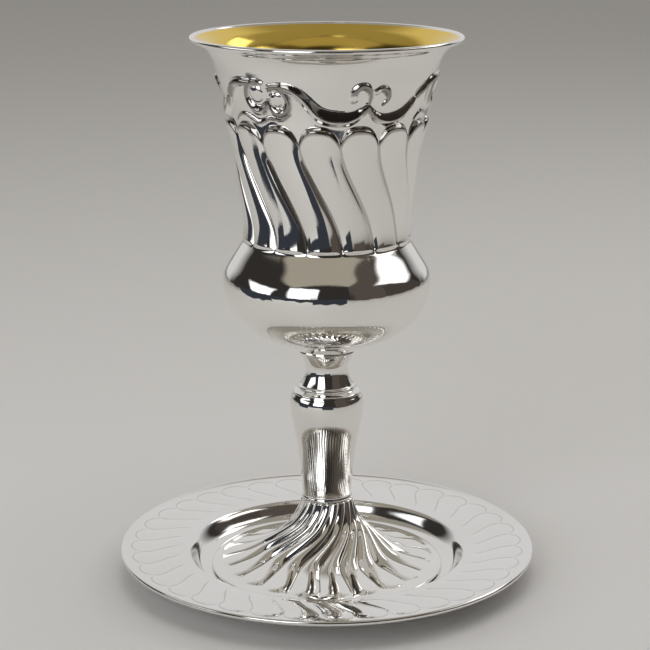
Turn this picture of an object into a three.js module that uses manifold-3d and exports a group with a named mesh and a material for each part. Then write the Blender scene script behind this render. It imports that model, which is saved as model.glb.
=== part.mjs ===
// A silver kiddush cup in its saucer: bowl, stem, foot and saucer.
// Millimetres, +Z up, origin at the centre of the saucer's underside.
import * as THREE from 'three';
import { mergeVertices } from 'three/addons/utils/BufferGeometryUtils.js';
import Module from 'manifold-3d';

const wasm = await Module();
wasm.setup();

// Heights on the common axis
const CUP_TOP = 150;
const BOWL_BOTTOM = 64;
const STEM_BOTTOM = 21.2;
const FOOT_TOP = 20.9;
const JOINT_GAP = 0.3;

// Bowl
const LIP_RADIUS = 36.5;
const LIP_BEAD_RADIUS = 0.65;
const CREASE_HEIGHT = 95.2;
const FLUTE_COUNT = 15;
const FLUTE_DEPTH = 0.9;
const FLUTE_TWIST_DEG = 27;
const FLUTE_PHASE_DEG = 7.5;
const FLUTE_CUSP_HEIGHT = 124.8;
const FLUTE_HEAD_HEIGHT = 129.3;
const FLUTE_HEAD_STEP = 0.7;
const COLUMNS_PER_FLUTE = 4;
const CAVITY_SEGMENTS = 30;

// Scroll band on the bowl
const SCROLL_REPEATS = 3;
const SCROLL_RELIEF = 0.75;
const SCROLL_ROOT = 0.45;

// Stem
const STEM_SEGMENTS = 24;

// Foot
const FOOT_RADIUS = 32.5;
const FOOT_BOTTOM = 1.5;
const LOBE_COUNT = 20;
const LOBE_DEPTH = 0.95;
const LOBE_END_RADIUS = 29.7;
const LOBE_CUSP_RADIUS = 27.2;
const LOBE_PHASE_DEG = 13;
const LOBE_SWIRL_DEG = -58;
const LOBE_RETURN_DEG = 5;
const COLUMNS_PER_LOBE = 3;
const HOLLOW_SEGMENTS = 24;

// Saucer
const SAUCER_RADIUS = 58;
const SAUCER_BEAD_RADIUS = 0.7;
const SAUCER_BEAD_HEIGHT = 7.3;
const SAUCER_FLOOR = 1.2;
const SAUCER_SEGMENTS = 40;

// Facets smaller than this are joined with their neighbours
const DETAIL_TOLERANCE = 0.05;

const silver = { color: 0xcfccc6, metalness: 1, roughness: 0.12 };
const colours = {
  bowl: { color: 0xd2cfc9, metalness: 1, roughness: 0.12 },
  stem: silver,
  foot: silver,
  saucer: { color: 0xc9c6c1, metalness: 1, roughness: 0.2 },
};

const radians = THREE.MathUtils.degToRad;
const smooth = (t) => THREE.MathUtils.smoothstep(t, 0, 1);

function points(pairs) {
  return pairs.map(([r, z]) => new THREE.Vector2(r, z));
}

function spline(pairs, steps) {
  return new THREE.SplineCurve(points(pairs)).getPoints(steps);
}

function arc(r, z, radius, fromDeg, toDeg, steps) {
  const span = toDeg - fromDeg;
  return Array.from({ length: steps + 1 }, (_, i) => {
    const angle = radians(fromDeg + (span * i) / steps);
    return new THREE.Vector2(r + radius * Math.cos(angle), z + radius * Math.sin(angle));
  });
}

// Turns a profile about +Z. The first column stands at startDeg, measured from the front (-Y).
function turned(profile, segments, startDeg = 0) {
  const geometry = new THREE.LatheGeometry(profile, segments, radians(startDeg));
  geometry.rotateX(Math.PI / 2);
  return geometry;
}

// Moves every vertex of a turned body: rule gets (angle, r, z) and returns the new three.
function reshape(geometry, rule) {
  const position = geometry.attributes.position;
  for (let i = 0; i < position.count; i += 1) {
    const r = Math.hypot(position.getX(i), position.getY(i));
    const angle = THREE.MathUtils.radToDeg(Math.atan2(position.getX(i), -position.getY(i)));
    const [newAngle, newR, newZ] = rule(angle, r, position.getZ(i));
    const turn = radians(newAngle);
    position.setXYZ(i, newR * Math.sin(turn), -newR * Math.cos(turn), newZ);
  }
  return geometry;
}

function solid(geometry) {
  const bare = geometry.clone();
  bare.deleteAttribute('normal');
  bare.deleteAttribute('uv');
  const merged = mergeVertices(bare, 1e-4);
  return new wasm.Manifold(new wasm.Mesh({
    numProp: 3,
    vertProperties: Float32Array.from(merged.attributes.position.array),
    triVerts: Uint32Array.from(merged.index.array),
  }));
}

function geometryOf(body) {
  const mesh = body.asOriginal().simplify(DETAIL_TOLERANCE).getMesh();
  const geometry = new THREE.BufferGeometry();
  geometry.setAttribute('position', new THREE.BufferAttribute(mesh.vertProperties, 3));
  geometry.setIndex(new THREE.BufferAttribute(mesh.triVerts, 1));
  geometry.computeVertexNormals();
  return geometry;
}

function piece(name, geometry) {
  const mesh = new THREE.Mesh(geometry, new THREE.MeshStandardMaterial(colours[name]));
  mesh.name = name;
  return mesh;
}

// Share of the way across one of count equal lobes, 0 and 1 at its two grooves.
function acrossLobe(angle, count, phaseDeg) {
  const share = ((angle - phaseDeg) * count) / 360;
  return Math.max(0, share - Math.floor(share + 1e-6));
}

// Crowds the columns of a lobe towards its grooves.
function crowded(share) {
  return share - 0.1 * Math.sin(2 * Math.PI * share);
}

function crown(share) {
  return Math.sqrt(Math.max(0, 1 - (2 * share - 1) ** 2));
}

// Bowl wall

const NECK = [
  [22.3, CREASE_HEIGHT], [21.95, 98], [22.05, 102.4], [22.7, 108], [23.4, 113],
  [24.3, 118.5], [25.3, 124], [26.2, 129.3], [27.2, 134], [28.6, 138],
];
const UNDER_LIP = [[29.5, 140.4], [30.4, 143.6], [31.6, 146], [33.0, 147.3], [35.5, 148.45]];
const BULGE = [
  [8, 64], [11.9, 66], [16.6, 68], [20.5, 70], [24.8, 74], [27.3, 78], [28.2, 82],
  [28.2, 85.3], [27.4, 87.3], [26.1, 89.4], [24.7, 91.6], [23.4, 93.6], [22.3, CREASE_HEIGHT],
];

function wallRadius(z) {
  const curve = new THREE.SplineCurve(points([...NECK, ...UNDER_LIP]));
  let low = 0;
  let high = 1;
  for (let i = 0; i < 24; i += 1) {
    const middle = (low + high) / 2;
    if (curve.getPoint(middle).y < z) low = middle;
    else high = middle;
  }
  return curve.getPoint(low).x;
}

function fluteHeadHeight(share) {
  const rise = FLUTE_HEAD_HEIGHT - FLUTE_CUSP_HEIGHT;
  const lean = share ** 0.85;
  return FLUTE_CUSP_HEIGHT + rise * crown(lean);
}

// Flutes run from the crease to their arched heads and swing round as they go down.
function fluted(angle, r, z) {
  const share = acrossLobe(angle, FLUTE_COUNT, FLUTE_PHASE_DEG);
  const pitch = 360 / FLUTE_COUNT;
  const placed = angle + (crowded(share) - share) * pitch;
  const dip = FLUTE_HEAD_HEIGHT - fluteHeadHeight(crowded(share));
  const up = (z - CREASE_HEIGHT) / (FLUTE_HEAD_HEIGHT - CREASE_HEIGHT);
  if (up > 1.001) {
    const settle = Math.max(0, 1 - (z - FLUTE_HEAD_HEIGHT) / 6);
    return [placed, r, z - dip * settle];
  }
  const swing = FLUTE_TWIST_DEG * smooth(1 - Math.max(up, 0));
  if (up < 0) return [placed + swing, r, z];
  const fade = smooth(Math.min(up / 0.12, 1));
  const head = up > 0.999 ? FLUTE_HEAD_STEP : FLUTE_DEPTH;
  return [placed + swing, r + head * fade * crown(crowded(share)), z - dip * up];
}

function fluteRows() {
  const rise = FLUTE_HEAD_HEIGHT - CREASE_HEIGHT;
  const rows = [0.06, 0.24, 0.46, 0.7, 0.92, 1].map((share) => CREASE_HEIGHT + rise * share);
  return rows.map((z) => new THREE.Vector2(wallRadius(z), z));
}

function bowlOutside() {
  const bead = LIP_RADIUS - LIP_BEAD_RADIUS;
  const bare = [FLUTE_HEAD_HEIGHT + 0.8, 138];
  const profile = [
    new THREE.Vector2(0, BOWL_BOTTOM),
    ...spline(BULGE, 10),
    ...fluteRows(),
    ...bare.map((z) => new THREE.Vector2(wallRadius(z), z)),
    ...points(UNDER_LIP.slice(1)),
    ...arc(bead, CUP_TOP - LIP_BEAD_RADIUS, LIP_BEAD_RADIUS, -50, 90, 3),
    new THREE.Vector2(0, CUP_TOP),
  ];
  const outside = turned(profile, FLUTE_COUNT * COLUMNS_PER_FLUTE, FLUTE_PHASE_DEG);
  return reshape(outside, fluted);
}

function bowlInside() {
  const lip = [[30.1, 145.9], [31.9, 147.6], [33.6, 148.6], [35.2, 149.55], [35.2, 151]];
  const wall = [
    [0, 66.4], [10, 67.1], [16.2, 69.4], [20.4, 72], [25.2, 77], [27.1, 84],
    [25.2, 88.8], [21.4, 95.4], [21.0, 101], [23.0, 117], [26.4, 135], [28.5, 141.5],
  ];
  return turned([...points(wall), ...points(lip), new THREE.Vector2(0, 151)], CAVITY_SEGMENTS);
}

// Scroll band: strokes drawn as [angle, height, half width] on the bowl wall

const WAVE = [
  [-30, 139.4, 0.5], [-24, 140.4, 0.9], [-15, 139.2, 1.2], [-5, 134.7, 1.6],
  [5, 132.4, 1.7], [14, 132.4, 1.4], [22.5, 135, 0.4],
];
const SECOND_WAVE = [[22, 135.2, 0.4], [27, 132.5, 0.8], [35, 131.4, 1.1], [46, 132.8, 1.1], [54, 135.8, 0.6]];
const BUD = [[53, 135.5, 0.4], [58, 137.3, 1.3], [62, 138.6, 1.1], [66, 139.6, 0.3]];
const LEFT_CREST = [[-61, 136.2, 0.4], [-56, 139.4, 0.9], [-48, 140.6, 0.9], [-37, 139.8, 0.5]];
const LEFT_VOLUTE = [
  [-33.5, 139.4, 0.5], [-38, 140.3, 0.8], [-45, 138.8, 0.9], [-47, 135.6, 1.0],
  [-43, 133, 1.1], [-37, 132.9, 1.0], [-33.2, 135.6, 0.5],
];
const RIGHT_VOLUTE = [
  [-31, 138.8, 0.5], [-27, 139, 0.6], [-22, 137.4, 0.8], [-20.4, 134.6, 1.0],
  [-24, 132.4, 1.1], [-29.4, 133, 1.0], [-31.6, 136, 0.5],
];
const LOWER_LINE = [
  [-62, 128.9, 0.3], [-56, 131, 0.6], [-48, 130.9, 0.6], [-40.5, 129.2, 0.7],
  [-33, 131.2, 0.6], [-25, 130.7, 0.5], [-20, 132.6, 0.3],
];
const LEFT_CURL = [[23, 135.4, 0.4], [22.2, 138.8, 0.7], [18, 140.3, 0.8], [14, 138.9, 0.9], [14.2, 136.8, 0.9]];
const RIGHT_CURL = [[25.5, 137.6, 0.7], [28, 139.3, 0.7], [32.6, 138.5, 0.8], [34, 136.2, 0.7], [31, 134.7, 0.4]];

function onWall(angleDeg, z, outward) {
  const radius = wallRadius(z) + outward;
  const angle = radians(angleDeg);
  return new THREE.Vector3(radius * Math.sin(angle), -radius * Math.cos(angle), z);
}

// A ridge along a stroke: a three-sided bar, sharp at both ends, with its foot sunk in the wall.
function ridge(stroke, turnDeg) {
  const steps = Math.round(stroke.length * 1.5);
  const bar = new THREE.SphereGeometry(1, 3, steps);
  const path = new THREE.CatmullRomCurve3(stroke.map(([a, z, half]) => new THREE.Vector3(a, z, half)));
  const position = bar.attributes.position;
  for (let i = 0; i < position.count; i += 1) {
    const side = i % 4;
    const along = Math.floor(i / 4) / steps;
    const at = path.getPoint(along);
    const ahead = path.getPoint(Math.min(along + 0.02, 1)).sub(path.getPoint(Math.max(along - 0.02, 0)));
    const span = radians(ahead.x) * wallRadius(at.y);
    const length = Math.hypot(span, ahead.y);
    const taper = along === 0 || along === 1 ? 0 : 1;
    const across = [-1, 0, 1, -1][side] * at.z * taper;
    const lift = [-SCROLL_ROOT, SCROLL_RELIEF, -SCROLL_ROOT, -SCROLL_ROOT][side] * taper;
    const angle = at.x + turnDeg + THREE.MathUtils.radToDeg(((-across * ahead.y) / length) / wallRadius(at.y));
    position.setXYZ(i, ...onWall(angle, at.y + (across * span) / length, lift));
  }
  return bar;
}

function scrollBand() {
  const strokes = [
    WAVE, SECOND_WAVE, BUD, LEFT_CREST, LEFT_VOLUTE, RIGHT_VOLUTE, LOWER_LINE, LEFT_CURL, RIGHT_CURL,
  ];
  const turns = Array.from({ length: SCROLL_REPEATS }, (_, i) => (i * 360) / SCROLL_REPEATS);
  return turns.flatMap((turn) => strokes.map((stroke) => solid(ridge(stroke, turn))));
}

function makeBowl() {
  const shell = scrollBand().reduce((body, bar) => body.add(bar), solid(bowlOutside()));
  return piece('bowl', geometryOf(shell.subtract(solid(bowlInside()))));
}

// Stem

function makeStem() {
  const top = BOWL_BOTTOM - JOINT_GAP;
  const trumpet = [[7.9, top], [6.6, 61.4], [5.85, 59.4], [5.95, 57.6], [6.7, 55.5], [7.5, 53.9]];
  const fillets = [[7.85, 53.7], [7.85, 53.1], [8.9, 52.4], [9.15, 51.9]];
  const knob = [[9.6, 51.4], [10.15, 49.4], [10.1, 46.8], [9.6, 43.8], [8.7, 39.5]];
  const taper = [[7.8, 34], [7.2, 27.5], [6.8, STEM_BOTTOM]];
  const profile = [
    new THREE.Vector2(0, top), ...spline(trumpet, 5), ...points([...fillets, ...knob, ...taper]),
    new THREE.Vector2(0, STEM_BOTTOM),
  ];
  return piece('stem', turned(profile.reverse(), STEM_SEGMENTS));
}

// Foot

const FLARE = [
  [7.2, FOOT_TOP], [7.6, 18.6], [8.9, 15.3], [11.4, 12.0], [14.8, 8.9], [19.0, 6.2],
  [24.0, 4.2], [LOBE_END_RADIUS, 2.8],
];
const FOOT_MARGIN = [[30.4, 2.55], [FOOT_RADIUS, 2.35], [FOOT_RADIUS, FOOT_BOTTOM]];

// Lobes swirl out from the collar, swing back a little and end round on the flat margin.
function lobed(angle, r, z) {
  const share = acrossLobe(angle, LOBE_COUNT, LOBE_PHASE_DEG);
  const out = (r - FLARE[0][0]) / (LOBE_END_RADIUS - FLARE[0][0]);
  if (out > 1.001 || z < FOOT_BOTTOM + 0.01) return [angle, r, z];
  const reach = LOBE_END_RADIUS - (LOBE_END_RADIUS - LOBE_CUSP_RADIUS) * (1 - crown(crowded(share)));
  const pulled = r - (LOBE_END_RADIUS - reach) * Math.max(out, 0) ** 3;
  const turn = Math.sin((Math.PI / 2) * Math.min(Math.max(out, 0) / 0.55, 1)) ** 0.9;
  const swirl = LOBE_SWIRL_DEG * turn + LOBE_RETURN_DEG * smooth(out);
  const grow = smooth(Math.min(Math.max(out, 0) / 0.25, 1)) * 0.75 + 0.25;
  const end = out > 0.99 ? 0.25 : 1;
  const lift = LOBE_DEPTH * grow * end * (crown(crowded(share)) - 0.75);
  const placed = angle + ((crowded(share) - share) * 360) / LOBE_COUNT;
  return [placed + swirl, pulled + (lift * (1 - out)) / 2, z + lift * Math.min(1, 0.5 + out)];
}

function makeFoot() {
  const profile = [
    new THREE.Vector2(0, FOOT_BOTTOM), ...points([...FLARE, ...FOOT_MARGIN].reverse()),
    new THREE.Vector2(0, FOOT_TOP),
  ];
  const outside = reshape(turned(profile, LOBE_COUNT * COLUMNS_PER_LOBE, LOBE_PHASE_DEG), lobed);
  const hollow = turned([
    new THREE.Vector2(0, 0), ...points([[31.6, 0], [31.6, 1.6], [24.5, 2.5], [18.4, 4.4]]),
    ...points([[13.2, 7.4], [8.9, 11.4], [6.2, 16.4], [5.6, 18.4], [0, 18.4]]),
  ], HOLLOW_SEGMENTS);
  return piece('foot', geometryOf(solid(outside).subtract(solid(hollow))));
}

// Saucer

function makeSaucer() {
  const bead = SAUCER_RADIUS - SAUCER_BEAD_RADIUS;
  const top = [[33.6, SAUCER_FLOOR], [35.6, 1.9], [37.2, 3.8], [38.3, 5.7], [39.2, 6.2], [56.4, 7.4]];
  const underside = [[39.2, 5.1], [37.6, 3.6], [36.4, 1.0], [34.4, 0]];
  const profile = [
    new THREE.Vector2(0, 0), ...points(underside.reverse()),
    ...arc(bead, SAUCER_BEAD_HEIGHT, SAUCER_BEAD_RADIUS, -120, 120, 4),
    ...points(top.reverse()), new THREE.Vector2(0, SAUCER_FLOOR),
  ];
  return piece('saucer', turned(profile, SAUCER_SEGMENTS));
}

const cup = new THREE.Group();
cup.add(makeBowl(), makeStem(), makeFoot(), makeSaucer());

export default cup;
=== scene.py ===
"""A silver kiddush cup, gilt inside, standing in its chased silver saucer."""
import math

import bpy
import numpy as np
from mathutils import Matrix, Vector


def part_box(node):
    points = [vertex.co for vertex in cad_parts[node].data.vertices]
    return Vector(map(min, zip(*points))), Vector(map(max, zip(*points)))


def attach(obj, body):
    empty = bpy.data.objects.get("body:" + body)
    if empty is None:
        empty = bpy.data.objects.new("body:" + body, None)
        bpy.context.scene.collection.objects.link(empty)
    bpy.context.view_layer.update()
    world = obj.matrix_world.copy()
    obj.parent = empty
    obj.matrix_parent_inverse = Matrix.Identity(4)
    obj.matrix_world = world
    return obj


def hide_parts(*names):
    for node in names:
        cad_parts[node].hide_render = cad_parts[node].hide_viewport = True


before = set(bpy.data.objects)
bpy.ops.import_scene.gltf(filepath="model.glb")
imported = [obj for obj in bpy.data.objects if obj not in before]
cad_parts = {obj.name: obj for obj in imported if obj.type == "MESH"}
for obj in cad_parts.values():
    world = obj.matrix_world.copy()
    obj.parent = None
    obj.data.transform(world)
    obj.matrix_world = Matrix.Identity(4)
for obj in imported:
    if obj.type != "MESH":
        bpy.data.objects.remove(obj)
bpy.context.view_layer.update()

MM = 0.001


def box_in_mm(node):
    """The lowest and the highest corner of a node's box, in millimetres."""
    return [np.array(corner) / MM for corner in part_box(node)]


# Sizes are in millimetres and angles in degrees. Angles start at the front (-Y) and grow towards +X.
BOWL_LOW, BOWL_HIGH = box_in_mm("bowl")
FOOT_LOW, FOOT_HIGH = box_in_mm("foot")
SAUCER_HIGH = box_in_mm("saucer")[1]

# Bowl
LIP_RADIUS = BOWL_HIGH[0]
LIP_TOP = BOWL_HIGH[2]
LIP_UNDERSIDE = 148.55
LIP_BEAD = 0.65
BAND_TOP = 141.6
CREASE_HEIGHT = 95.2
HOLLOW_BOTTOM = 66.4
BOWL_BOTTOM = BOWL_LOW[2]
COLUMNS_PER_FLUTE = 40

# Flutes
FLUTES = 15
FLUTE_PHASE = 7.5
FLUTE_TWIST = 27.0
FLUTE_DEPTH = 1.35
FLUTE_POWER = 2.6
FLUTE_SKEW = 0.85
FLUTE_SUNK = 0.4
FLUTE_SUNK_OVER = 8.0
FLUTE_CUSP = 124.8
FLUTE_HEAD = 129.3
FLUTE_SETTLE = 4.0
HEAD_POWER = 3
HEAD_SKEW = 0.9
HEAD_DOME_LEFT = 1.2
HEAD_DOME_RIGHT = 1.7
HEAD_DOME_POWER = 1.6

# Scroll band
SCROLL_REPEATS = 3
SCROLL_HEIGHT = 0.95
BAND_RADIUS = 27.6
BAND_BOTTOM = 126.0
BAND_FADE_FROM = 127.0
BAND_FADE_OVER = 1.5
BROAD_STROKE = 2.2
BROAD_STROKE_OVER = 1.2

# Round hammer marks on the bulge
MARK_ROWS = (79.4, 82.3, 85.2)
MARKS_PER_ROW = 50
MARK_RADIUS = (1.6, 1.95)
MARK_DEPTH = (0.04, 0.075)
MARK_SHIFT = 0.12
MARK_LIFT = 0.25
MARKED_FROM = 76.0
BULGE_RADIUS = 28.2

# Foot
LOBES = 20
LOBE_PHASE = 13.0
LOBE_DEPTH = 0.95
LOBE_SKEW = 1.2
LOBE_START = 7.05
LOBE_CUSP = 27.2
LOBE_END = 29.7
LOBE_END_LENGTH = 3.4
LOBE_END_POWER = 2.4
LOBE_GROOVE_END = 28.565
LOBE_SWIRL = -58.0
LOBE_SWIRL_SHARE = 0.55
LOBE_SWIRL_POWER = 0.9
LOBE_RETURN = 5.0
COLUMNS_PER_LOBE = 26

# Saucer
SAUCER_BEAD = 0.7
SAUCER_FLOOR = 1.2
CHASED_LOBES = 36
COLUMNS_PER_CHASED_LOBE = 20
CHASING_DEPTH = 0.14
CHASING_WIDTH = 0.22
CHASING_HEAD_WIDTH = 0.24
CHASING_MIDDLE = 48.0
CHASING_START = 39.6
CHASING_START_FADE = 4.0
CHASING_CUSP = 51.6
CHASING_PEAK = 55.0
CHASING_DRIFT = 7.6
PILLOW_HEIGHT = 0.38
PILLOW_HEAD_FADE = 1.5

# Width of the dark line in a groove, partly patina and partly painted shade, as a share of the flute or lobe
# beside it
FLUTE_GROOVE_WIDTH = 0.025
LOBE_GROOVE_WIDTH = 0.03

# Painted shade, from 0 on polished metal to 1 in the deepest hollow: on the flute heads it stands in for the
# dark room they reflect
HEAD_PAINTED_SHADE = 0.95
HEAD_PAINTED_SHADE_DEPTH = 1.5
HEAD_PAINTED_SHADE_FADE = 0.9
CHASING_PATINA_AND_PAINTED_SHADE = 0.55

# Camera
CAMERA_DISTANCE = 508.7
CAMERA_HEIGHT = 203.3
CAMERA_OFFSET = -0.5
CAMERA_PITCH = 14.607
CAMERA_LENS = 106.0
CAMERA_SENSOR = 36.0


# Curves and shares

def natural_spline(points, count):
    """Points at equal steps of length along a natural cubic spline through the given points."""
    points = np.array(points, float)
    chord = np.concatenate([[0], np.cumsum(np.linalg.norm(np.diff(points, axis=0), axis=1))])
    gap = np.diff(chord)
    n = len(points)
    system = np.eye(n)
    right = np.zeros_like(points)
    for i in range(1, n - 1):
        system[i, i - 1:i + 2] = gap[i - 1], 2 * (gap[i - 1] + gap[i]), gap[i]
        right[i] = 6 * ((points[i + 1] - points[i]) / gap[i] - (points[i] - points[i - 1]) / gap[i - 1])
    bend = np.linalg.solve(system, right)
    at = np.linspace(0, chord[-1], 12 * count + 200)
    k = np.clip(np.searchsorted(chord, at, side="right") - 1, 0, n - 2)
    h = gap[k][:, None]
    left = (at - chord[k])[:, None]
    after = (chord[k + 1] - at)[:, None]
    dense = (bend[k] * after**3 + bend[k + 1] * left**3) / (6 * h)
    dense += (points[k] / h - bend[k] * h / 6) * after + (points[k + 1] / h - bend[k + 1] * h / 6) * left
    return resample(dense, count)


def resample(line, count):
    """Points at equal steps of length along a line of many short pieces."""
    length = np.concatenate([[0], np.cumsum(np.linalg.norm(np.diff(line, axis=0), axis=1))])
    at = np.linspace(0, length[-1], count)
    return np.stack([np.interp(at, length, line[:, k]) for k in range(line.shape[1])], -1)


def arc(r, z, radius, start, end, count):
    """Points on a circle round (r, z), from the start angle to the end angle above the horizontal."""
    turn = np.radians(np.linspace(start, end, count))
    return np.stack([r + radius * np.cos(turn), z + radius * np.sin(turn)], -1)


def smooth(t):
    """An eased step from 0 to 1 as t goes from 0 to 1."""
    t = np.clip(t, 0, 1)
    return t * t * (3 - 2 * t)


def across(angle, count, phase):
    """Share of the way across one of count equal lobes, 0 and 1 at its two grooves."""
    return ((angle - phase) * count / 360) % 1.0


def crowded(share):
    """Crowds the columns of a lobe towards its grooves."""
    return share - 0.1 * np.sin(2 * np.pi * share)


def crowding(angle, count, phase):
    """How far, in degrees, crowding moves the columns at these angles."""
    share = across(angle, count, phase)
    return (crowded(share) - share) * 360 / count


def round_end(share):
    """Height of a half circle drawn over the width of a lobe: 0 at its grooves, 1 in its middle."""
    return np.sqrt(np.clip(1 - (2 * share - 1)**2, 0, 1))


def groove_line(share, width):
    """A soft dark line in the grooves of a lobe: partly patina, partly painted shade."""
    return np.exp(-(np.minimum(share, 1 - share) / width)**2)


# Meshes

def ring(angle, r, z):
    """Rows of vertices, in metres, at these angles, radii and heights."""
    turn, r, z = np.broadcast_arrays(np.radians(np.atleast_2d(angle)), r, z)
    return np.stack([r * np.sin(turn), -r * np.cos(turn), z], -1) * MM


class Skin:
    """A closed skin of rings of vertices, wound so that its faces point out."""

    def __init__(self):
        self.points = []
        self.painted_shade_and_patina = []
        self.faces = []
        self.slots = []
        self.count = 0
        self.last = None

    def _add(self, vertices, painted_shade_and_patina):
        start = self.count
        self.points.append(vertices)
        self.painted_shade_and_patina.append(painted_shade_and_patina)
        self.count += len(vertices)
        return np.arange(start, self.count)

    def _face(self, corners, slot):
        self.faces.append(corners)
        self.slots.append(np.full(len(corners), slot))

    def pole(self, z, slot=0):
        """Adds one vertex on the axis. It starts the skin, or closes the last ring."""
        tip = self._add(np.array([[0, 0, z * MM]]), np.zeros(1))
        if self.last is not None:
            following = np.roll(self.last, -1)
            top = np.full(len(self.last), tip[0])
            self._face(np.stack([self.last, following, top], -1), slot)
        self.last = tip

    def rings(self, rows, slot=0, painted_shade_and_patina=0.0):
        """Adds rows of vertices, each a ring, and joins each to the one before."""
        painted_shade_and_patina = np.broadcast_to(painted_shade_and_patina, rows.shape[:2])
        for row, dark in zip(rows, painted_shade_and_patina):
            new = self._add(row, dark)
            self._join(self.last, new, slot)
            self.last = new

    def _join(self, old, new, slot):
        """Faces from a pole to a ring, or between rings of equal, doubled or halved count."""
        a, b = np.roll(old, -1), np.roll(new, -1)
        if len(old) == 1:
            self._face(np.stack([np.full(len(new), old[0]), b, new], -1), slot)
        elif len(old) == len(new):
            self._face(np.stack([old, a, b, new], -1), slot)
        elif 2 * len(old) == len(new):
            even, odd, after = new[0::2], new[1::2], np.roll(new[0::2], -1)
            self._face(np.stack([old, odd, even], -1), slot)
            self._face(np.stack([old, a, odd], -1), slot)
            self._face(np.stack([a, after, odd], -1), slot)
        else:
            even, odd, after = old[0::2], old[1::2], np.roll(old[0::2], -1)
            self._face(np.stack([even, odd, new], -1), slot)
            self._face(np.stack([odd, b, new], -1), slot)
            self._face(np.stack([odd, after, b], -1), slot)

    def build(self, name, materials):
        mesh = bpy.data.meshes.new(name)
        corners = [tuple(face) for block in self.faces for face in block.tolist()]
        mesh.from_pydata(np.concatenate(self.points).tolist(), [], corners)
        for material in materials:
            mesh.materials.append(material)
        mesh.polygons.foreach_set("material_index", np.concatenate(self.slots).astype(np.int32))
        mesh.polygons.foreach_set("use_smooth", np.ones(len(corners), bool))
        mesh.update()
        # Per-vertex amount of patina and painted shade, which the metal material darkens by
        depth = mesh.attributes.new("painted_shade_and_patina", "FLOAT", "POINT")
        depth.data.foreach_set("value", np.concatenate(self.painted_shade_and_patina).astype(np.float32))
        piece = bpy.data.objects.new(name, mesh)
        bpy.context.scene.collection.objects.link(piece)
        return piece


# Bowl. Each profile is a list of [radius, height].

NECK = [
    [22.35, CREASE_HEIGHT], [22.12, 96.6], [21.96, 98.4], [21.92, 100], [22.1, 103], [22.7, 108], [23.4, 113],
    [24.3, 118.5], [25.3, 124], [26.2, 129.3], [27.2, 134], [28.6, 138],
]
UNDER_LIP = [[29.5, 140.4], [30.4, 143.6], [31.6, 146], [33.0, 147.3], [35.3, LIP_UNDERSIDE]]
BOTTOM = [[4, BOWL_BOTTOM], [7.9, BOWL_BOTTOM]]
BULGE = [
    [8.2, 64.2], [11.9, 66], [16.6, 68], [20.5, 70], [24.8, 74], [27.3, 78], [28.2, 82],
    [28.2, 85.3], [27.4, 87.3], [26.1, 89.4], [24.7, 91.6], [23.4, 93.6], [22.3, CREASE_HEIGHT],
]
LIP_TURN = [[35.45, 148.68], [35.6, 148.72]]
INSIDE = [
    [35.05, 149.4], [33.9, 148.75], [32.0, 147.7], [30.3, 146.0], [28.9, 143], [27.4, 138], [26.2, 132],
    [24.4, 124], [22.2, 114], [20.9, 104], [20.6, 98.5], [21.6, 93.8], [24.6, 89.4], [26.7, 85.6],
    [27.0, 82], [25.6, 77.4], [22.2, 73.2], [17.2, 69.6], [10, 67.2], [3, 66.5],
]
GILT_SLOT = 1


def flute_head(share):
    """Height of a flute's arched head, from cusp to cusp."""
    rise = FLUTE_HEAD - FLUTE_CUSP
    return FLUTE_CUSP + rise * (1 - np.abs(2 * share**HEAD_SKEW - 1)**HEAD_POWER)


def wall_rows():
    """Heights of the outer wall's rows from the crease to the lip, closest at the flutes' ends."""
    rise = FLUTE_HEAD - CREASE_HEIGHT
    foot_share = 0.05
    dome_share = 0.1
    foot = CREASE_HEIGHT + np.linspace(0, foot_share, 6)[:-1] * rise
    low = CREASE_HEIGHT + np.linspace(foot_share, 1 - dome_share, 22) * rise
    dome = CREASE_HEIGHT + (1 - dome_share * np.linspace(1, 0, 17)[1:]**1.5) * rise
    band = np.linspace(FLUTE_HEAD, BAND_TOP, 54)[1:]
    flare = np.linspace(BAND_TOP, LIP_UNDERSIDE, 13)[1:]
    return np.concatenate([foot, low, dome, band, flare])


def flute_relief(angle, height):
    """Places and raises the rows of the fluted wall. Returns angle, radius, height and relief."""
    wall = natural_spline(NECK + UNDER_LIP, 1200)
    share = crowded(across(angle, FLUTES, FLUTE_PHASE))
    placed = angle + crowding(angle, FLUTES, FLUTE_PHASE)
    dip = FLUTE_HEAD - flute_head(share)
    up = (height - CREASE_HEIGHT) / (FLUTE_HEAD - CREASE_HEIGHT)
    settle = np.clip(1 - (height - FLUTE_HEAD) / FLUTE_SETTLE, 0, 1)**1.5
    z = np.where(up > 1, height - dip * settle, height - dip * up)
    radius = np.interp(z, wall[:, 1], wall[:, 0])
    swing = FLUTE_TWIST * smooth(1 - up)
    below_head = np.clip(flute_head(share) - z, 0, None)
    dome_length = HEAD_DOME_LEFT + (HEAD_DOME_RIGHT - HEAD_DOME_LEFT) * smooth((share - 0.3) / 0.6)
    dome = 1 - (1 - np.clip(below_head / dome_length, 0, 1))**HEAD_DOME_POWER
    section = 1 - np.abs(2 * share**FLUTE_SKEW - 1)**FLUTE_POWER
    relief = FLUTE_DEPTH * section * dome * smooth(up / 0.025) * (up <= 1)
    sunk = FLUTE_SUNK * smooth(below_head / FLUTE_SUNK_OVER) * smooth(up / 0.03) * (up <= 1)
    return placed + swing, radius + relief - sunk, z, relief


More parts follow.
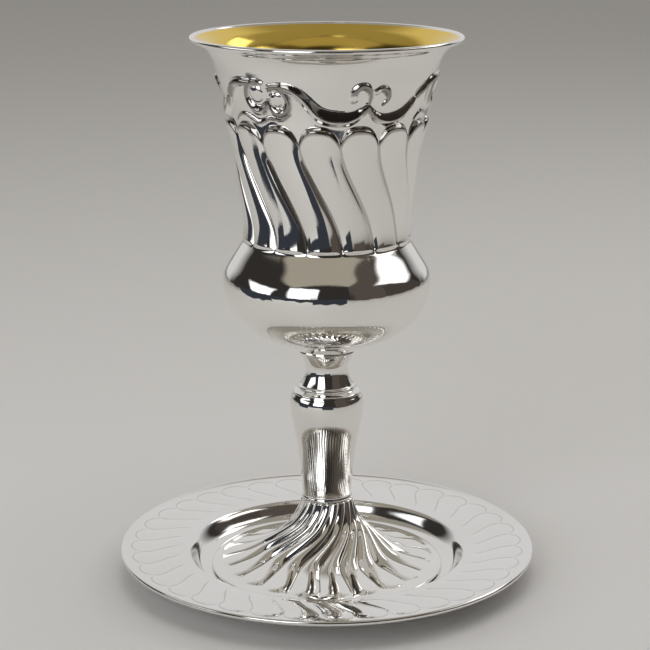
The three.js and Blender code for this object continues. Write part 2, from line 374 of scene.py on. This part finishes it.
# Each stroke of the scroll band is a list of [angle, height, width above, width below] on the wall.
# Above means to the left of the stroke's direction.
WAVE = [
    [-30, 139.4, 0.7, 0.6], [-24, 139.5, 1.2, 1.0], [-15, 137.7, 1.8, 1.6], [-5, 132.3, 2.6, 1.9],
    [5, 130.6, 3.0, 1.6], [14, 131.1, 2.4, 1.5], [22.5, 134.2, 0.9, 0.9],
]
SECOND_WAVE = [
    [22, 135.2, 0.4, 0.4], [27, 131.7, 1.4, 1.2], [35, 130.3, 2.1, 1.5], [46, 131.6, 2.0, 1.6],
    [54, 135.2, 0.9, 0.9],
]
BUD = [[54.5, 135.5, 0.5, 0.5], [59, 136.9, 1.5, 1.0], [63, 138.3, 1.3, 0.9], [66, 139.8, 0.3, 0.3]]
LEFT_CREST = [
    [-62, 135.6, 0.5, 0.5], [-57, 138.4, 1.6, 1.0], [-48, 139.9, 1.4, 1.0], [-38, 139.9, 0.6, 0.6],
]
LEFT_VOLUTE = [
    [-35, 140.2, 0.6, 0.6], [-38.5, 140.6, 0.7, 0.7], [-44, 139.4, 0.8, 0.8], [-46.6, 136.4, 1.0, 1.0],
    [-44, 133.6, 1.4, 1.4], [-38.5, 132.8, 1.5, 1.5], [-33.4, 134.8, 0.7, 0.7],
]
RIGHT_VOLUTE = [
    [-31, 138.6, 0.6, 0.6], [-27, 139.3, 0.6, 0.6], [-22.4, 137.8, 0.8, 0.8], [-20.9, 134.8, 1.1, 1.1],
    [-24.2, 132.6, 1.5, 1.5], [-29, 132.9, 1.3, 1.3], [-31.8, 135.6, 0.7, 0.7],
]
LOWER_LINE = [
    [-62, 129.3, 0.3, 0.3], [-56, 131.2, 0.5, 0.5], [-48, 130.9, 0.55, 0.5], [-40.5, 129.6, 0.6, 0.5],
    [-33, 131.0, 0.55, 0.5], [-25, 130.9, 0.5, 0.45], [-20, 132.4, 0.3, 0.3],
]
LEFT_CURL = [
    [23, 135.4, 0.5, 0.5], [22.4, 138.2, 0.8, 0.8], [18.4, 139.9, 1.0, 1.0], [14.6, 138.7, 1.0, 1.0],
    [13.8, 136.7, 1.0, 1.0],
]
RIGHT_CURL = [
    [26, 138.2, 0.8, 0.8], [28.6, 139.0, 0.9, 0.9], [32.2, 138.2, 1.0, 1.0], [33.6, 136.2, 0.8, 0.8],
    [31, 134.7, 0.4, 0.4],
]
STROKES = [WAVE, SECOND_WAVE, BUD, LEFT_CREST, LEFT_VOLUTE, RIGHT_VOLUTE, LOWER_LINE, LEFT_CURL, RIGHT_CURL]

# Round bosses: [angle, height, radius, relief]
PEARLS = [
    [-39.3, 137.4, 2.3, 0.9], [-27.0, 136.2, 2.0, 0.85], [13.9, 136.5, 1.1, 0.7], [26.3, 138.3, 0.9, 0.6],
]

# Length of one degree round the band
DEGREE = math.radians(1) * BAND_RADIUS


def stroke_relief(x, z, stroke):
    """Height and painted shade of one ridge over points x, z of the unrolled wall.

    A narrow stroke is a round tube, painted dark all over. A broad one has a straight slope above its line,
    which is painted dark in place of the dark room it would reflect, and a rounded and mostly polished one
    below it.
    """
    line = np.array(stroke, float)
    line[:, 0] *= DEGREE
    line = natural_spline(line, 70)
    heading = np.gradient(line[:, :2], axis=0)
    heading /= np.linalg.norm(heading, axis=1)[:, None]
    dx = x[:, None] - line[None, :, 0]
    dz = z[:, None] - line[None, :, 1]
    nearest = np.argmin(dx**2 + dz**2, axis=1)
    pick = np.arange(len(x))
    dx, dz = dx[pick, nearest], dz[pick, nearest]
    tangent = heading[nearest]
    side = tangent[:, 0] * dz - tangent[:, 1] * dx
    beyond = np.abs(tangent[:, 0] * dx + tangent[:, 1] * dz)
    above, below = line[nearest, 2], line[nearest, 3]
    width = np.where(side > 0, above, below)
    reach = np.clip(np.sqrt(side**2 + beyond**2) / np.maximum(width, 0.05), 0, 1)
    broad = smooth((above + below - BROAD_STROKE) / BROAD_STROKE_OVER)
    height = SCROLL_HEIGHT * np.clip((above + below) / BROAD_STROKE, 0.25, 1.15)
    slope = np.where(side > 0, 1 - reach, 0.5 + 0.5 * np.cos(np.pi * reach))
    tube = (1 - reach**2)**0.8
    # Painted shade: the slope above the line, and all of a narrow tube, is darkened in place of the dark room
    # it would reflect
    dark = (1 - reach**6) * np.where(side > 0, 1, 1 - broad * smooth(reach / 0.25))
    return height * (broad * slope + (1 - broad) * tube), dark * (reach < 1)


def scroll_relief(angle, z):
    """Relief and painted shade of the whole band: the strokes and bosses, repeated round the bowl."""
    period = 360 / SCROLL_REPEATS
    margin = 8
    home = (angle + period / 2) % period - period / 2
    flat_angle, flat_z = home.ravel(), z.ravel()
    total = np.zeros(len(flat_z))
    patina_and_painted_shade = np.zeros(len(flat_z))
    for shift in (-period, 0, period):
        x = (flat_angle - shift) * DEGREE
        for stroke in STROKES:
            first = min(point[0] for point in stroke) - margin
            last = max(point[0] for point in stroke) + margin
            near = (x > first * DEGREE) & (x < last * DEGREE) & (flat_z > BAND_BOTTOM)
            if near.any():
                height, dark = stroke_relief(x[near], flat_z[near], stroke)
                total[near] = np.maximum(total[near], height)
                patina_and_painted_shade[near] = np.maximum(patina_and_painted_shade[near], dark)
        for centre, middle, radius, height in PEARLS:
            reach = np.hypot(x - centre * DEGREE, flat_z - middle) / radius
            total = np.maximum(total, height * np.sqrt(np.clip(1 - reach**2, 0, 1)))
            patina_and_painted_shade *= smooth((reach - 0.75) / 0.4)
    return total.reshape(z.shape), patina_and_painted_shade.reshape(z.shape)


def hammer_marks(angle, height):
    """Faint round dents in staggered rows about the bulge's middle."""
    rng = np.random.default_rng(18)
    degree = math.radians(BULGE_RADIUS)
    total = np.zeros(np.broadcast(angle, height).shape)
    for row, middle in enumerate(MARK_ROWS):
        stagger = 0.5 * (row % 2)
        for k in range(MARKS_PER_ROW):
            centre = (k + stagger + rng.uniform(-MARK_SHIFT, MARK_SHIFT)) * 360 / MARKS_PER_ROW
            off = (angle - centre + 180) % 360 - 180
            lift = height - middle - rng.uniform(-MARK_LIFT, MARK_LIFT)
            reach = np.hypot(off * degree, lift) / rng.uniform(*MARK_RADIUS)
            total -= rng.uniform(*MARK_DEPTH) * np.clip(1 - reach**2, 0, 1)**1.5
    return total


def add_bulge(skin, angle):
    """The bowl's underside and its round bulge, up to the crease."""
    placed = angle + crowding(angle, FLUTES, FLUTE_PHASE) + FLUTE_TWIST
    bulge = natural_spline(BULGE, 56)[:-1]
    for r, z in np.concatenate([BOTTOM, bulge]):
        marks = hammer_marks(placed, z) if z > MARKED_FROM else 0
        skin.rings(ring(placed, r + marks, z))


def add_wall(skin, angle):
    """The fluted wall and the scroll band. Returns the angles of its last row."""
    placed, r, z, relief = flute_relief(angle[None], wall_rows()[:, None])
    # The band's painted shade darkens the scroll strokes in place of the dark room they would reflect
    band, band_painted_shade = scroll_relief(placed, z)
    fade = smooth((z - BAND_FADE_FROM) / BAND_FADE_OVER)
    on_flute = relief > 0.001
    share = crowded(across(angle, FLUTES, FLUTE_PHASE))[None]
    groove = groove_line(share, FLUTE_GROOVE_WIDTH) * on_flute
    # Painted shade on the top of each flute's arched head, in place of the dark room it would reflect; the
    # groove lines are partly patina and partly painted shade
    below_head = np.clip(flute_head(share) - z, 0, None)
    head = (1 - smooth((below_head - HEAD_PAINTED_SHADE_DEPTH) / HEAD_PAINTED_SHADE_FADE)) * on_flute
    painted_shade_and_patina = np.maximum(np.maximum(band_painted_shade * fade, groove), HEAD_PAINTED_SHADE * head)
    skin.rings(ring(placed, r + band * fade, z), painted_shade_and_patina=painted_shade_and_patina)
    return placed[-1]


def make_bowl(silver, gilding):
    skin = Skin()
    columns = FLUTES * COLUMNS_PER_FLUTE
    angle = FLUTE_PHASE + np.arange(columns) * 360 / columns
    skin.pole(BOWL_BOTTOM)
    add_bulge(skin, angle[::2])
    lip_angle = add_wall(skin, angle)
    bead = arc(LIP_RADIUS - LIP_BEAD, LIP_TOP - LIP_BEAD, LIP_BEAD, -68, 150, 10)
    for r, z in np.concatenate([LIP_TURN, bead]):
        skin.rings(ring(lip_angle, r, z))
    edge, *inside = natural_spline(INSIDE, 34)
    skin.rings(ring(lip_angle[::2], *edge))
    for r, z in inside:
        skin.rings(ring(lip_angle[::2], r, z), slot=GILT_SLOT)
    skin.pole(HOLLOW_BOTTOM, slot=GILT_SLOT)
    bowl = skin.build("bowl_silver", [silver, gilding])
    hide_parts("bowl")
    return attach(bowl, "root")


# Stem

STEM_TOP = 63.85
STEM_BOTTOM = 21.1
STEM_COLUMNS = 240
TRUMPET = [
    [8.0, STEM_TOP], [7.3, 62.8], [6.5, 61.2], [5.9, 59.6], [5.8, 58.2], [6.1, 56.8], [6.8, 55.2],
    [7.4, 54.1],
]
UPPER_FILLET = [[7.4, 54.1], [7.75, 53.95], [7.95, 53.65], [7.95, 53.35], [7.8, 53.1]]
NECKLACE = [[7.8, 53.1], [8.2, 52.8], [8.75, 52.5]]
LOWER_FILLET = [[8.75, 52.5], [9.05, 52.4], [9.25, 52.1], [9.3, 51.8]]
KNOB = [
    [9.3, 51.8], [9.85, 50.9], [10.15, 49.4], [10.15, 47.6], [9.85, 45], [9.25, 41.8],
    [8.55, 38.4], [7.95, 34.8], [7.5, 31], [7.2, 27], [6.95, 23.6], [6.85, 22.2],
]
COLLAR = [[6.85, 22.2], [7.0, 21.95], [7.0, 21.4], [6.85, STEM_BOTTOM]]
STEM_PARTS = [(TRUMPET, 36), (UPPER_FILLET, 9), (NECKLACE, 8), (LOWER_FILLET, 8), (KNOB, 60), (COLLAR, 8)]


def make_stem(silver):
    skin = Skin()
    angle = np.arange(STEM_COLUMNS) * 360 / STEM_COLUMNS
    outline = [natural_spline(points, count)[1:] for points, count in STEM_PARTS]
    outline = np.concatenate([TRUMPET[:1], *outline])[::-1]
    skin.pole(STEM_BOTTOM)
    for r, z in [[3.5, STEM_BOTTOM], *outline, [4, STEM_TOP]]:
        skin.rings(ring(angle, r, z))
    skin.pole(STEM_TOP)
    stem = skin.build("stem_silver", [silver])
    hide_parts("stem")
    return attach(stem, "root")


# Foot

FOOT_BOTTOM = FOOT_LOW[2]
FLARE = [
    [LOBE_START, 20.95], [7.55, 19.0], [8.45, 16.8], [9.8, 14.2], [11.9, 11.6], [14.9, 8.9], [19.0, 6.2],
    [24.0, 4.2], [LOBE_END, 2.8],
]
MARGIN = [
    [30.3, 2.55], [31.4, 2.42], [32.1, 2.3], [32.45, 2.05], [FOOT_HIGH[0], 1.8], [32.4, 1.55],
]
FOOT_EDGE = [[31.6, FOOT_BOTTOM], [32.2, FOOT_BOTTOM]]
FOOT_HOLLOW_TOP = 18.4
FOOT_HOLLOW = [
    [3.0, 18.3], [5.2, 17.2], [6.3, 15.2], [8.4, 12.0], [12.6, 8.2], [18.4, 4.7], [24.6, 2.8], [31.2, 1.75],
]


def lobe_relief(angle, radius, height):
    """Places and raises the rows of the lobed flare. Returns angle, radius and height."""
    share = crowded(across(angle, LOBES, LOBE_PHASE))
    out = np.clip((radius - LOBE_START) / (LOBE_END - LOBE_START), 0, 1)
    reach = LOBE_CUSP + (LOBE_END - LOBE_CUSP) * round_end(share)
    pulled = radius - (LOBE_END - reach) * out**3
    turn = np.sin(np.pi / 2 * np.clip(out / LOBE_SWIRL_SHARE, 0, 1))**LOBE_SWIRL_POWER
    swirl = LOBE_SWIRL * turn + LOBE_RETURN * smooth(out)
    near_stem = 0.4 + 0.6 * smooth(out / 0.2)
    near_edge = 1 - 0.5 * smooth((out - 0.45) / 0.5)
    end = 1 - (1 - np.clip((reach - pulled) / LOBE_END_LENGTH, 0, 1))**LOBE_END_POWER
    section = 1 - np.abs(2 * share**LOBE_SKEW - 1)**2
    sunk = 0.6 * (1 - smooth((out - 0.55) / 0.45))
    lift = LOBE_DEPTH * (near_stem * near_edge) * (section * end - sunk)
    slope = np.gradient(height[:, 0], radius[:, 0])[:, None]
    tilt = 1 / np.sqrt(1 + slope**2)
    placed = angle + crowding(angle, LOBES, LOBE_PHASE) + swirl
    return placed, pulled - lift * slope * tilt, height + lift * tilt


def make_foot(silver):
    skin = Skin()
    columns = LOBES * COLUMNS_PER_LOBE
    angle = LOBE_PHASE + np.arange(columns) * 360 / columns
    skin.pole(FOOT_HOLLOW_TOP)
    for r, z in np.concatenate([natural_spline(FOOT_HOLLOW, 30), FOOT_EDGE]):
        skin.rings(ring(angle[::2] + LOBE_SWIRL, r, z))
    margin_angle = angle + crowding(angle, LOBES, LOBE_PHASE) + LOBE_SWIRL + LOBE_RETURN
    for r, z in natural_spline(MARGIN, 14)[::-1]:
        skin.rings(ring(margin_angle, r, z))
    flare = natural_spline(FLARE, 96)[::-1]
    share = crowded(across(angle, LOBES, LOBE_PHASE))
    # Dark groove lines, partly patina and partly painted shade
    groove = groove_line(share, LOBE_GROOVE_WIDTH) * (flare[:, :1] < LOBE_GROOVE_END)
    skin.rings(ring(*lobe_relief(angle[None], flare[:, :1], flare[:, 1:])), painted_shade_and_patina=groove)
    skin.pole(FOOT_HIGH[2] + 0.1)
    foot = skin.build("foot_silver", [silver])
    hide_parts("foot")
    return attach(foot, "root")


# Saucer

STANDING_FACE = [[18, 0], [33.6, 0]]
UNDERSIDE = [
    [34.2, 0], [35.6, 0.35], [36.6, 1.5], [37.6, 3.6], [38.8, 4.9], [41, 5.35], [48, 5.9], [56.4, 6.6],
]
RIM = [[56.5, 7.45], [52, 7.05], [46, 6.72], [40.4, 6.4], [39.4, 6.32], [38.8, 6.12]]
WELL = [[38.8, 6.12], [38.3, 5.6], [37.5, 4.4], [36.6, 2.9], [35.4, 1.7], [33.8, SAUCER_FLOOR]]
FLOOR_RADII = (31, 24, 12)


def chasing(angle, radius):
    """Relief and dark lines of the chased lobes: fine grooves with round heads, and low pillows."""
    drift = CHASING_DRIFT * smooth((radius - CHASING_START) / (CHASING_CUSP - CHASING_START))
    share = across(angle - drift, CHASED_LOBES, 0)
    pitch = math.radians(360 / CHASED_LOBES) * CHASING_MIDDLE
    from_groove = np.minimum(share, 1 - share) * pitch
    fade = smooth((radius - CHASING_START) / CHASING_START_FADE)
    head = CHASING_CUSP + (CHASING_PEAK - CHASING_CUSP) * round_end(share)
    inside = radius < head
    groove = np.exp(-(from_groove / CHASING_WIDTH)**2) * fade * inside
    arch = np.exp(-(np.abs(radius - head) / CHASING_HEAD_WIDTH)**2)
    line = np.maximum(groove, arch)
    pillow = np.sin(np.pi * share) * fade * inside * np.clip((head - radius) / PILLOW_HEAD_FADE, 0, 1)
    return -CHASING_DEPTH * line + PILLOW_HEIGHT * pillow, line


def make_saucer(silver):
    skin = Skin()
    columns = CHASED_LOBES * COLUMNS_PER_CHASED_LOBE
    angle = np.arange(columns) * 360 / columns
    skin.pole(0)
    for r, z in np.concatenate([STANDING_FACE, natural_spline(UNDERSIDE, 30)]):
        skin.rings(ring(angle[::2], r, z))
    bead = arc(SAUCER_HIGH[0] - SAUCER_BEAD, SAUCER_HIGH[2] - SAUCER_BEAD, SAUCER_BEAD, -125, 122, 14)
    for r, z in bead:
        skin.rings(ring(angle, r, z))
    rim = natural_spline(RIM, 86)
    relief, line = chasing(angle[None], rim[:, :1])
    # The chased lines are darkened, partly as patina and partly as painted shade
    skin.rings(ring(angle, rim[:, :1], rim[:, 1:] + relief), painted_shade_and_patina=CHASING_PATINA_AND_PAINTED_SHADE * line)
    for r, z in natural_spline(WELL, 18)[1:]:
        skin.rings(ring(angle, r, z))
    for r in FLOOR_RADII:
        skin.rings(ring(angle[::2], r, SAUCER_FLOOR))
    skin.pole(SAUCER_FLOOR)
    saucer = skin.build("saucer_silver", [silver])
    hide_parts("saucer")
    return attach(saucer, "root")


# Materials

DRIFT_SCALE = 28
HAZE_SCALE = 60
SCRATCH_SCALE = 900
SCRATCH_STRETCH = (1, 1, 9)
SCRATCH_DEPTH = 0.00002


def node_material(name):
    """A new material, its nodes, its links and its shader."""
    material = bpy.data.materials.new(name)
    material.use_nodes = True
    nodes = material.node_tree.nodes
    return material, nodes, material.node_tree.links, nodes["Principled BSDF"]


def noise(nodes, scale, detail, rough=0.55):
    texture = nodes.new("ShaderNodeTexNoise")
    texture.inputs["Scale"].default_value = scale
    texture.inputs["Detail"].default_value = detail
    texture.inputs["Roughness"].default_value = rough
    return texture


def span(nodes, links, source, low, high, to_low, to_high):
    """Carries a value from the range low to high over to the range to_low to to_high."""
    change = nodes.new("ShaderNodeMapRange")
    change.inputs["From Min"].default_value = low
    change.inputs["From Max"].default_value = high
    change.inputs["To Min"].default_value = to_low
    change.inputs["To Max"].default_value = to_high
    links.new(source, change.inputs["Value"])
    return change.outputs["Result"]


def metal(name, bright, dull, patina_and_painted_shade, roughness, scratches):
    """Polished metal: a colour that drifts a little, patina and painted shade where the mesh attribute says,
    faint haze and fine wipe marks.
    """
    material, nodes, links, shader = node_material(name)
    place = nodes.new("ShaderNodeTexCoord")
    drift = noise(nodes, DRIFT_SCALE, 3)
    links.new(place.outputs["Object"], drift.inputs["Vector"])
    ramp = nodes.new("ShaderNodeValToRGB")
    ramp.color_ramp.elements[0].position = 0.35
    ramp.color_ramp.elements[0].color = (*dull, 1)
    ramp.color_ramp.elements[1].position = 0.7
    ramp.color_ramp.elements[1].color = (*bright, 1)
    links.new(drift.outputs["Fac"], ramp.inputs["Fac"])
    # Patina and painted shade: the mesh attribute mixes in the dark colour
    depth = nodes.new("ShaderNodeAttribute")
    depth.attribute_name = "painted_shade_and_patina"
    blend = nodes.new("ShaderNodeMix")
    blend.data_type = "RGBA"
    blend.inputs["B"].default_value = (*patina_and_painted_shade, 1)
    links.new(ramp.outputs["Color"], blend.inputs["A"])
    links.new(span(nodes, links, depth.outputs["Fac"], 0.1, 1, 0, 0.75), blend.inputs["Factor"])
    links.new(blend.outputs["Result"], shader.inputs["Base Color"])
    shader.inputs["Metallic"].default_value = 1.0
    haze = noise(nodes, HAZE_SCALE, 5, 0.6)
    links.new(place.outputs["Object"], haze.inputs["Vector"])
    links.new(span(nodes, links, haze.outputs["Fac"], 0.3, 0.75, *roughness), shader.inputs["Roughness"])
    wipe = nodes.new("ShaderNodeMapping")
    wipe.inputs["Scale"].default_value = SCRATCH_STRETCH
    links.new(place.outputs["Object"], wipe.inputs["Vector"])
    marks = noise(nodes, SCRATCH_SCALE, 2)
    links.new(wipe.outputs["Vector"], marks.inputs["Vector"])
    bump = nodes.new("ShaderNodeBump")
    bump.inputs["Strength"].default_value = scratches
    bump.inputs["Distance"].default_value = SCRATCH_DEPTH
    links.new(marks.outputs["Fac"], bump.inputs["Height"])
    links.new(bump.outputs["Normal"], shader.inputs["Normal"])
    return material


# Studio

VIEW_CENTRE = (0, 0, 95)
WHITE = (0.97, 0.985, 1)
WARM = (1, 0.98, 0.95)
KHAKI = (0.36, 0.33, 0.27)
BROWN = (0.085, 0.07, 0.06)
BLACK = (0.035, 0.04, 0.05)
PANEL_STEPS = 16

# The room's shades, and where they meet: a direction, and how far along it one starts and ends
DARK_ROOM = (0.03, 0.027, 0.025)
KHAKI_CEILING = (0.3, 0.28, 0.24)
LIGHT_WALL = (0.66, 0.655, 0.65)
CEILING_EDGE = ((0, 0.35, 1), 0.6, 0.66)
WALL_EDGE = ((0, 1, 0.35), 0.62, 0.82)

# In metres
FLOOR_SIZE = 4.0
FLOOR_DROP = 0.0002
LAMP_PLACE = (0.15, -0.1, 1.1)
LAMP_TARGET = (0, 0, 0.05)
LAMP_SIZE = 0.9
LAMP_ENERGY = 2.8


def direction(azimuth, elevation):
    """Unit direction from the object: azimuth from the front (-Y) towards +X, elevation upwards."""
    a, e = math.radians(azimuth), math.radians(elevation)
    return Vector((math.sin(a) * math.cos(e), -math.cos(a) * math.cos(e), math.sin(e)))


def glow_material(name, colour):
    """Plain light of one colour, as strong as the mesh's glow attribute says."""
    material = bpy.data.materials.new(name)
    material.use_nodes = True
    nodes, links = material.node_tree.nodes, material.node_tree.links
    nodes.clear()
    level = nodes.new("ShaderNodeAttribute")
    level.attribute_name = "glow"
    light = nodes.new("ShaderNodeEmission")
    light.inputs["Color"].default_value = (*colour, 1)
    links.new(level.outputs["Fac"], light.inputs["Strength"])
    output = nodes.new("ShaderNodeOutputMaterial")
    links.new(light.outputs["Emission"], output.inputs["Surface"])
    return material


def panel(name, corners, distance, colour, strength, edge=0.0, lights=True):
    """A soft box or dark screen whose corners stand at (azimuth, elevation) round the object.

    The edge is the share of the panel's width over which its glow fades out.
    """
    centre = Vector(VIEW_CENTRE) * MM
    places = [centre + direction(*corner) * distance * MM for corner in corners]
    top_left, top_right, low_right, low_left = places
    points, glow = [], []
    for i in range(PANEL_STEPS + 1):
        for j in range(PANEL_STEPS + 1):
            u, v = j / PANEL_STEPS, i / PANEL_STEPS
            points.append(top_left.lerp(top_right, u).lerp(low_left.lerp(low_right, u), v))
            inset = min(u, 1 - u, v, 1 - v)
            glow.append(strength * (float(smooth(inset / edge)) if edge else 1.0))
    faces = []
    for i in range(PANEL_STEPS):
        for j in range(PANEL_STEPS):
            k = i * (PANEL_STEPS + 1) + j
            faces.append((k, k + 1, k + PANEL_STEPS + 2, k + PANEL_STEPS + 1))
    mesh = bpy.data.meshes.new(name)
    mesh.from_pydata(points, [], faces)
    mesh.attributes.new("glow", "FLOAT", "POINT").data.foreach_set("value", glow)
    mesh.materials.append(glow_material(name, colour))
    screen = bpy.data.objects.new(name, mesh)
    bpy.context.scene.collection.objects.link(screen)
    screen.visible_camera = False
    screen.visible_shadow = False
    screen.visible_diffuse = lights


def make_floor():
    mesh = bpy.data.meshes.new("floor")
    corners = [(x * FLOOR_SIZE, y * FLOOR_SIZE, 0) for x, y in ((-1, -1), (1, -1), (1, 1), (-1, 1))]
    mesh.from_pydata(corners, [], [(0, 1, 2, 3)])
    floor = bpy.data.objects.new("floor", mesh)
    bpy.context.scene.collection.objects.link(floor)
    floor.location = (0, 0, -FLOOR_DROP)
    material, _, _, shader = node_material("floor")
    shader.inputs["Base Color"].default_value = (0.8, 0.79, 0.78, 1)
    shader.inputs["Roughness"].default_value = 0.7
    shader.inputs["Specular IOR Level"].default_value = 0.1
    mesh.materials.append(material)


def make_room():
    """A dark room, with a khaki ceiling overhead and a light wall behind the object."""
    world = bpy.data.worlds.new("room")
    bpy.context.scene.world = world
    world.use_nodes = True
    nodes, links = world.node_tree.nodes, world.node_tree.links
    way = nodes.new("ShaderNodeTexCoord")

    def beyond(toward, low, high):
        """Goes from 0 to 1 as the direction looked in comes round to the one given."""
        along = nodes.new("ShaderNodeVectorMath")
        along.operation = "DOT_PRODUCT"
        along.inputs[1].default_value = toward
        links.new(way.outputs["Generated"], along.inputs[0])
        return span(nodes, links, along.outputs["Value"], low, high, 0, 1)

    def painted(under, amount, colour):
        mix = nodes.new("ShaderNodeMix")
        mix.data_type = "RGBA"
        links.new(amount, mix.inputs["Factor"])
        if isinstance(under, tuple):
            mix.inputs["A"].default_value = (*under, 1)
        else:
            links.new(under, mix.inputs["A"])
        mix.inputs["B"].default_value = (*colour, 1)
        return mix.outputs["Result"]

    front = painted(DARK_ROOM, beyond(*CEILING_EDGE), KHAKI_CEILING)
    whole = painted(front, beyond(*WALL_EDGE), LIGHT_WALL)
    links.new(whole, nodes["Background"].inputs["Color"])


def make_lamp():
    """A broad lamp overhead that lights the floor and casts the soft shadow."""
    lamp = bpy.data.objects.new("lamp", bpy.data.lights.new("lamp", "AREA"))
    bpy.context.scene.collection.objects.link(lamp)
    lamp.data.shape = "DISK"
    lamp.data.size = LAMP_SIZE
    lamp.data.energy = LAMP_ENERGY
    lamp.location = LAMP_PLACE
    lamp.rotation_euler = (Vector(LAMP_TARGET) - lamp.location).to_track_quat("-Z", "Y").to_euler()
    lamp.visible_glossy = False


def make_studio():
    make_floor()
    make_room()
    make_lamp()
    panel("soft_box_left", [(-106, 24), (-58, 28), (-60, -1), (-84, -1)], 900, WHITE, 1.5, edge=0.12)
    panel("soft_box_front", [(-48, 38), (-8, 41), (-13, -1), (-44, -1)], 950, WHITE, 2.6, edge=0.12)
    panel("strip_right", [(56, 37), (104, 17), (120, 20), (84, 42)], 900, WARM, 1.7, edge=0.2)
    panel("strip_back", [(102, 48), (144, 45), (142, 27), (108, 25)], 1000, WARM, 2.2, edge=0.2)
    panel("ceiling_left", [(-50, 80), (-14, 80), (-12, 63), (-36, 63)], 1100, WARM, 0.9, edge=0.15)
    panel("ceiling_middle", [(-16, 80), (14, 80), (3, 49), (-6, 49)], 1000, WARM, 0.75, edge=0.3)
    panel("ceiling_front", [(-78, 42), (74, 42), (45, 38), (-45, 38)], 1120, KHAKI, 1.0, edge=0.06)
    panel("screen_right", [(28, 46), (68, 46), (68, -7), (28, -7)], 1000, BROWN, 1.0, lights=False)
    panel("screen_far_right", [(68, 44), (112, 21), (122, -3), (68, -3)], 1000, BROWN, 0.7, lights=False)
    panel("low_screen_left", [(-112, 1), (-59, 1), (-59, -18), (-90, -18)], 295, BLACK, 1.0, lights=False)
    panel("low_rail_front", [(-60, 0), (-12, 0), (-12, -11), (-60, -11)], 310, BLACK, 1.0, lights=False)
    panel("low_screen_front", [(-14, 0), (20, 0), (20, -19), (-14, -19)], 255, BLACK, 1.0, lights=False)


def make_camera():
    camera = bpy.data.objects.new("camera", bpy.data.cameras.new("camera"))
    bpy.context.scene.collection.objects.link(camera)
    camera.location = (CAMERA_OFFSET * MM, -CAMERA_DISTANCE * MM, CAMERA_HEIGHT * MM)
    camera.rotation_euler = (math.radians(90 - CAMERA_PITCH), 0, 0)
    camera.data.lens = CAMERA_LENS
    camera.data.sensor_width = CAMERA_SENSOR
    camera.data.clip_start = 0.01
    camera.data.clip_end = 20
    bpy.context.scene.camera = camera


make_camera()
# Each metal's dark colour is the patina and painted shade laid on by the mesh attribute
silver = metal(
    "polished_silver", bright=(0.93, 0.915, 0.89), dull=(0.88, 0.865, 0.84), patina_and_painted_shade=(0.16, 0.14, 0.12),
    roughness=(0.03, 0.07), scratches=0.15,
)
saucer_silver = metal(
    "saucer_silver", bright=(0.91, 0.9, 0.885), dull=(0.87, 0.86, 0.84), patina_and_painted_shade=(0.2, 0.18, 0.16),
    roughness=(0.06, 0.12), scratches=0.2,
)
gilding = metal(
    "gilding", bright=(0.95, 0.7, 0.17), dull=(0.88, 0.62, 0.13), patina_and_painted_shade=(0.3, 0.18, 0.05),
    roughness=(0.12, 0.17), scratches=0.3,
)
make_bowl(silver, gilding)
make_stem(silver)
make_foot(silver)
make_saucer(saucer_silver)
make_studio()

bpy.context.scene.view_settings.view_transform = "Standard"
